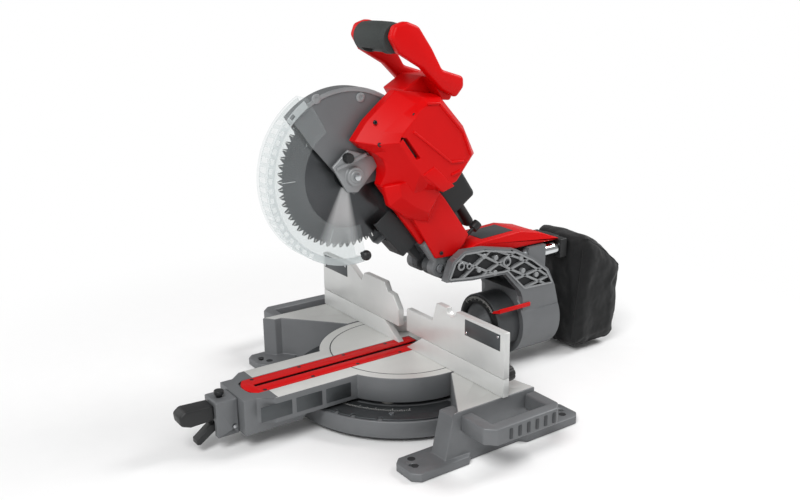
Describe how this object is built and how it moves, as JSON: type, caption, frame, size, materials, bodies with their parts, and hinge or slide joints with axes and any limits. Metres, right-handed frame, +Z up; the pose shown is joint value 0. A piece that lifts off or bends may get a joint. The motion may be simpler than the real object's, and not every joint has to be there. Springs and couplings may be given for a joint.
{
  "type": "sliding miter saw",
  "caption": "Sliding compound miter saw with a red faceted head, ribbed bevel arm, turntable, split fences, clear blade guard and dust bag",
  "frame": {"origin": "on the bench under the table pivot, centre of the bench bolt pattern", "axes": "+X to the operator's right, +Y to the rear, +Z up from the bench"},
  "size_m": [0.706, 0.964, 0.6778],
  "materials": {
    "base_casting": "sand cast aluminium, painted mid grey",
    "carry_handles": "sand cast grey handle bars",
    "miter_scale": "dark index plate",
    "scale_screws": "pan head screws",
    "table_pivot_bolt": "turned pivot bolt",
    "fixed_fence": "machined fence casting",
    "fence_bolts": "socket screws",
    "left_fence": "machined sliding fence",
    "right_fence": "machined sliding fence",
    "left_fence_knob": "ribbed clamp knob",
    "right_fence_knob": "ribbed clamp knob",
    "turntable": "turned table top",
    "wear_pads": "low friction pads",
    "kerf_plate": "red kerf insert",
    "kerf_screws": "countersunk screws",
    "front_block": "grey cast block",
    "front_handle": "moulded handle",
    "detent_lever": "trigger lever",
    "lever_pin": "bright pin",
    "detent_pin": "plunger",
    "detent_button": "detent override button",
    "bevel_trunnion": "cast trunnion drum",
    "bevel_scale": "black bevel scale",
    "arm_casting": "ribbed bevel arm casting",
    "bevel_shaft": "bevel shaft and nut",
    "linear_bushings": "slide bushings",
    "bevel_pointer": "red pointer",
    "bevel_lock_knob": "ribbed lock knob",
    "slide_rails": "polished slide tubes",
    "hinge_bracket": "cast chop bracket",
    "rail_cover": "red rail cover",
    "end_plate": "rail end plate",
    "dust_tube": "dust tube",
    "dust_bag": "black filter cloth",
    "depth_stop": "depth stop screw",
    "pivot_pin": "ground pin",
    "return_spring": "spring wire",
    "head_casting": "cast head arm",
    "upper_guard": "cast blade guard",
    "arm_covers": "red side covers",
    "motor_housing": "red faceted housing",
    "belt_case": "belt case",
    "belt_cover": "red belt cover",
    "drive_belt": "ribbed belt",
    "motor_stator": null,
    "motor_rotor": "rotor and shaft",
    "shaft_bearings": "ball bearings",
    "arbor_shaft": "arbor and pulley",
    "blade_flanges": "blade flanges",
    "arbor_bolt": "hex arbor bolt",
    "blade": "ground saw plate with carbide teeth",
    "lower_guard": "clear guard",
    "guard_knob": "ball knob",
    "guard_bracket": "cast bracket",
    "dust_chute": "dust chute",
    "handle": "red D handle",
    "handle_grip": "rubber grip sleeve",
    "trigger": "trigger",
    "lock_button": "lock off button",
    "battery": "battery pack"
  },
  "bodies": {
    "base": {"base_casting": "base_casting", "carry_handles": "carry_handles", "miter_scale": "miter_scale", "scale_screws": "scale_screws", "table_pivot_bolt": "table_pivot_bolt", "fixed_fence": "fixed_fence", "fence_bolts": "fence_bolts", "wear_pads": "wear_pads"},
    "left_fence": {"left_fence": "left_fence"},
    "right_fence": {"right_fence": "right_fence"},
    "left_fence_knob": {"left_fence_knob": "left_fence_knob"},
    "right_fence_knob": {"right_fence_knob": "right_fence_knob"},
    "turntable": {"turntable": "turntable", "kerf_plate": "kerf_plate", "kerf_screws": "kerf_screws", "front_block": "front_block", "front_handle": "front_handle", "lever_pin": "lever_pin", "bevel_trunnion": "bevel_trunnion", "bevel_scale": "bevel_scale", "bevel_shaft": "bevel_shaft"},
    "detent_lever": {"detent_lever": "detent_lever"},
    "detent_pin": {"detent_pin": "detent_pin"},
    "detent_button": {"detent_button": "detent_button"},
    "bevel_arm": {"arm_casting": "arm_casting", "linear_bushings": "linear_bushings", "bevel_pointer": "bevel_pointer"},
    "bevel_lock_knob": {"bevel_lock_knob": "bevel_lock_knob"},
    "carriage": {"slide_rails": "slide_rails", "hinge_bracket": "hinge_bracket", "rail_cover": "rail_cover", "end_plate": "end_plate", "dust_tube": "dust_tube", "dust_bag": "dust_bag", "return_spring": "return_spring"},
    "depth_stop": {"depth_stop": "depth_stop"},
    "head": {"head_casting": "head_casting", "upper_guard": "upper_guard", "arm_covers": "arm_covers", "motor_housing": "motor_housing", "belt_case": "belt_case", "belt_cover": "belt_cover", "drive_belt": "drive_belt", "motor_stator": "motor_stator", "shaft_bearings": "shaft_bearings", "guard_bracket": "guard_bracket", "dust_chute": "dust_chute", "handle": "handle", "handle_grip": "handle_grip", "pivot_pin": "pivot_pin", "battery": "battery"},
    "blade": {"blade": "blade", "blade_flanges": "blade_flanges", "arbor_bolt": "arbor_bolt", "arbor_shaft": "arbor_shaft"},
    "motor_rotor": {"motor_rotor": "motor_rotor"},
    "lower_guard": {"lower_guard": "lower_guard", "guard_knob": "guard_knob"},
    "trigger": {"trigger": "trigger"},
    "lock_button": {"lock_button": "lock_button"}
  },
  "joints": [
    {"name": "miter", "type": "hinge", "parent": "base", "child": "turntable", "pos_m": [0, 0, 0.05], "axis": [0, 0, 1], "range_deg": [-50, 50]},
    {"name": "left_fence_slide", "type": "slide", "parent": "base", "child": "left_fence", "axis": [-1, 0, 0], "range_m": [0, 0.14]},
    {"name": "right_fence_slide", "type": "slide", "parent": "base", "child": "right_fence", "axis": [1, 0, 0], "range_m": [0, 0.14]},
    {"name": "left_fence_clamp", "type": "hinge", "parent": "left_fence", "child": "left_fence_knob", "pos_m": [-0.256, 0.03, 0.1153], "axis": [0, 1, 0], "continuous": true},
    {"name": "right_fence_clamp", "type": "hinge", "parent": "right_fence", "child": "right_fence_knob", "pos_m": [0.256, 0.03, 0.1153], "axis": [0, 1, 0], "continuous": true},
    {"name": "detent_release", "type": "hinge", "parent": "turntable", "child": "detent_lever", "pos_m": [0, -0.346, 0.04], "axis": [-1, 0, 0], "range_deg": [0, 9], "stiffness_Nm_per_rad": 2, "springref_deg": -11.46},
    {"name": "detent_plunger", "type": "slide", "parent": "turntable", "child": "detent_pin", "axis": [0, -1, 0], "range_m": [0, 0.006]},
    {"name": "detent_override", "type": "slide", "parent": "turntable", "child": "detent_button", "axis": [0, 0, -1], "range_m": [0, 0.0035], "stiffness_N_per_m": 600, "springref_m": -0.001},
    {"name": "bevel", "type": "hinge", "parent": "turntable", "child": "bevel_arm", "pos_m": [0, 0.2, 0.09], "axis": [0, 1, 0], "range_deg": [-48, 34]},
    {"name": "bevel_lock", "type": "hinge", "parent": "bevel_arm", "child": "bevel_lock_knob", "pos_m": [-0.077, 0.288, 0.17], "axis": [1, 0, 0], "continuous": true},
    {"name": "carriage_slide", "type": "slide", "parent": "bevel_arm", "child": "carriage", "axis": [0, -1, 0], "range_m": [-0.145, 0.02]},
    {"name": "depth_screw", "type": "hinge", "parent": "carriage", "child": "depth_stop", "pos_m": [0.02, 0.108, 0.2615], "axis": [0, 0.7986, 0.6018], "continuous": true},
    {"name": "chop", "type": "hinge", "parent": "carriage", "child": "head", "pos_m": [0, 0.058, 0.238], "axis": [1, 0, 0], "range_deg": [0, 55], "stiffness_Nm_per_rad": 20, "springref_deg": -57.3},
    {"name": "blade_spin", "type": "hinge", "parent": "head", "child": "blade", "pos_m": [0, -0.10997, 0.42558], "axis": [1, 0, 0], "continuous": true},
    {"name": "rotor_spin", "type": "hinge", "parent": "head", "child": "motor_rotor", "pos_m": [0, 0.05338, 0.43986], "axis": [1, 0, 0], "continuous": true},
    {"name": "guard_swing", "type": "hinge", "parent": "head", "child": "lower_guard", "pos_m": [0, -0.10997, 0.42558], "axis": [1, 0, 0], "range_deg": [-125.01, 0]},
    {"name": "trigger_pull", "type": "slide", "parent": "head", "child": "trigger", "axis": [0, -0.5736, 0.8192], "range_m": [0, 0.006], "stiffness_N_per_m": 700, "springref_m": -0.001},
    {"name": "lock_press", "type": "slide", "parent": "head", "child": "lock_button", "axis": [1, 0, 0], "range_m": [0, 0.0035], "stiffness_N_per_m": 600, "springref_m": -0.001}
  ],
  "couplings": [
    {"joint": "detent_plunger", "follows": "detent_release", "m_per_rad": 0.038},
    {"joint": "rotor_spin", "follows": "blade_spin", "ratio": 2.0833},
    {"joint": "guard_swing", "follows": "chop", "ratio": -2.2727}
  ]
}
